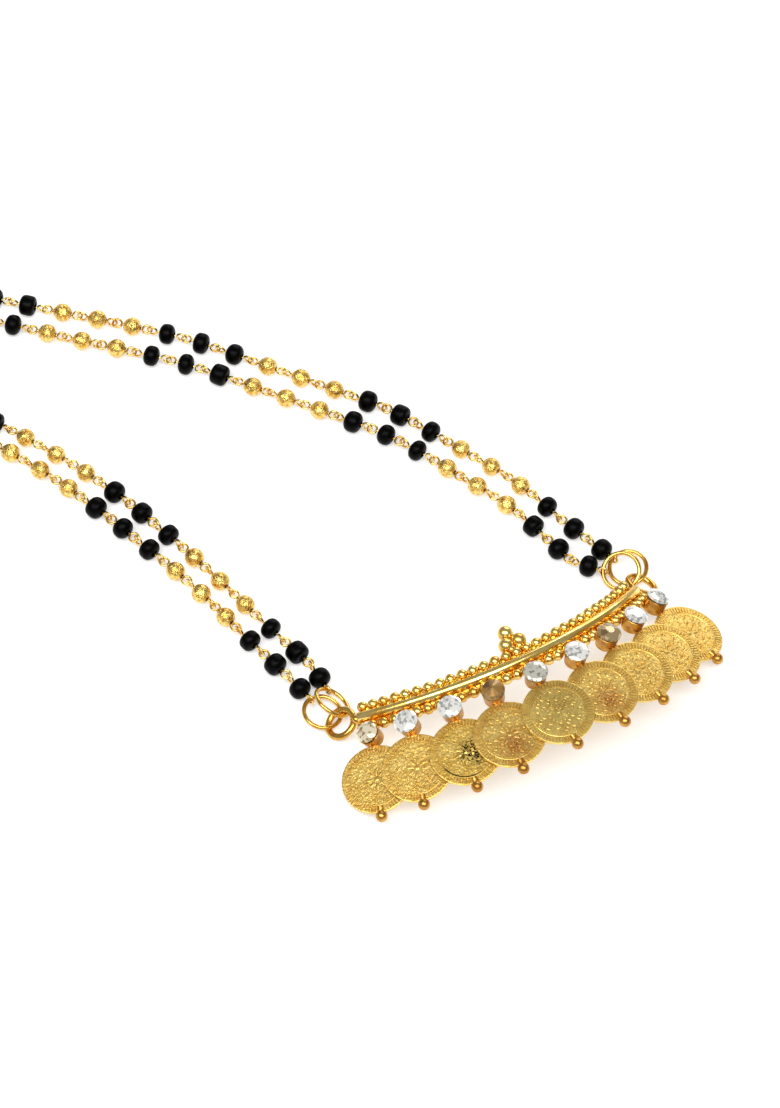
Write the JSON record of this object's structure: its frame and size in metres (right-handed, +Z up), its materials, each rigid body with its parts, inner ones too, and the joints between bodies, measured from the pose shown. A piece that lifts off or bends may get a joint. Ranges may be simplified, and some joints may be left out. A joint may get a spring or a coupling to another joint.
{
  "type": "temple necklace",
  "caption": "Coin necklace lying flat: an arched granulated bar with stones and hanging coins, on paired strands of black and gold beads.",
  "frame": {"origin": "on the table, in the middle of the outline that the lying necklace covers", "axes": "+Z up from the table, -Y towards the coins, +Y towards the clasp, +X towards the right-hand strands as the picture shows them"},
  "size_m": [0.1265, 0.1718, 0.0133],
  "materials": {
    "gold": "matte cast gold tone with polished edges",
    "gold_wire": "bright pale gold wire",
    "brushed_gold": "brushed hollow beads",
    "black_glass": "opaque satin black glass",
    "clear_stone": "cut and polished paste"
  },
  "bodies": {
    "root": {"pendant": "gold", "stone_1": "clear_stone", "stone_2": "clear_stone", "stone_3": "clear_stone", "stone_4": "clear_stone", "stone_5": "clear_stone", "stone_6": "clear_stone", "stone_7": "clear_stone", "stone_8": "clear_stone", "stone_9": "clear_stone", "left_inner_ring": "gold", "left_outer_ring": "gold", "right_outer_ring": "gold", "right_inner_ring": "gold", "left_inner_pins": "gold_wire", "left_outer_pins": "gold_wire", "right_outer_pins": "gold_wire", "right_inner_pins": "gold_wire", "left_inner_gold_beads": "brushed_gold", "left_outer_gold_beads": "brushed_gold", "right_outer_gold_beads": "brushed_gold", "right_inner_gold_beads": "brushed_gold", "left_inner_black_beads": "black_glass", "left_outer_black_beads": "black_glass", "right_outer_black_beads": "black_glass", "right_inner_black_beads": "black_glass", "clasp_ring": "gold", "clasp_hook": "gold"}
  },
  "joints": []
}
